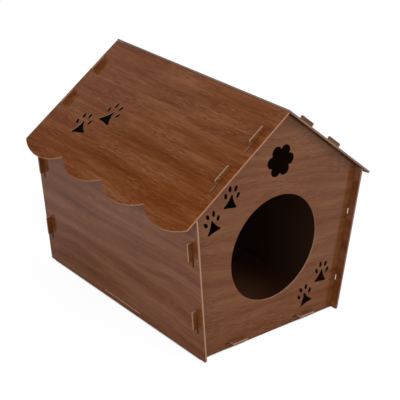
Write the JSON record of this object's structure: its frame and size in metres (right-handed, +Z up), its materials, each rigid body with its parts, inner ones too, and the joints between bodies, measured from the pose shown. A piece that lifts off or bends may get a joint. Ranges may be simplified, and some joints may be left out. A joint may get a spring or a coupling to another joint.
{
  "type": "cat house",
  "caption": "Flat-pack cat house of thin wood-print boards with a round doorway, leaning walls and a pitched roof with scalloped eaves, locked by hook tabs in long slots.",
  "frame": {"origin": "on the ground, under the middle of the house", "axes": "+Z up, +Y from the doorway to the back, +X to the right of someone who faces the doorway"},
  "size_m": [0.3742, 0.4, 0.3535],
  "materials": {
    "gable_board": "walnut print under a semi-gloss film, bare fibreboard on the cut edges",
    "wall_board": "walnut print under a semi-gloss film, bare fibreboard on the cut edges",
    "roof_board": "walnut print under a semi-gloss film, bare fibreboard on the cut edges",
    "floor_board": "walnut print under a semi-gloss film, bare fibreboard on the cut edges"
  },
  "bodies": {
    "house": {"front_panel": "gable_board", "back_panel": "gable_board", "left_wall": "wall_board", "right_wall": "wall_board", "floor_panel": "floor_board", "left_roof": "roof_board"},
    "right_roof": {"right_roof": "roof_board"}
  },
  "joints": [
    {"name": "right_roof_slide", "type": "slide", "parent": "house", "child": "right_roof", "axis": [-0.7986, 0, 0.6018], "range_m": [0, 0.0136]}
  ]
}
